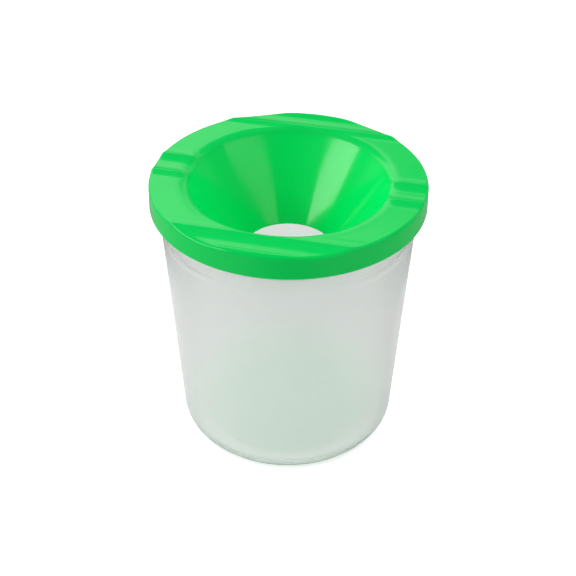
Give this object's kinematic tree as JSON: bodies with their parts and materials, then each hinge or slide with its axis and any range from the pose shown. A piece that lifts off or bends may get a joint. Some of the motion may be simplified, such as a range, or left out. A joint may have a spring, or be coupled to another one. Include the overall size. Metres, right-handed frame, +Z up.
{
  "type": "paint cup with lid",
  "caption": "Tapered frosted cup with a push-on non-spill lid: a funnel down to an open hole, a short skirt, and parallel grooves across its ring for resting brushes.",
  "frame": {"origin": "centre of the cup's foot, in the plane of the surface it stands on", "axes": "+Z up along the axis of the cup, +X along the brush grooves of the lid, +Y across them"},
  "size_m": [0.0864, 0.0864, 0.0915],
  "materials": {
    "frosted_polypropylene": "satin",
    "green_polypropylene": "gloss"
  },
  "bodies": {
    "cup": {"cup": "frosted_polypropylene"},
    "lid": {"lid": "green_polypropylene"}
  },
  "joints": [
    {"name": "lid_lift", "type": "slide", "parent": "cup", "child": "lid", "axis": [0, 0, 1], "range_m": [0, 0.045]}
  ]
}
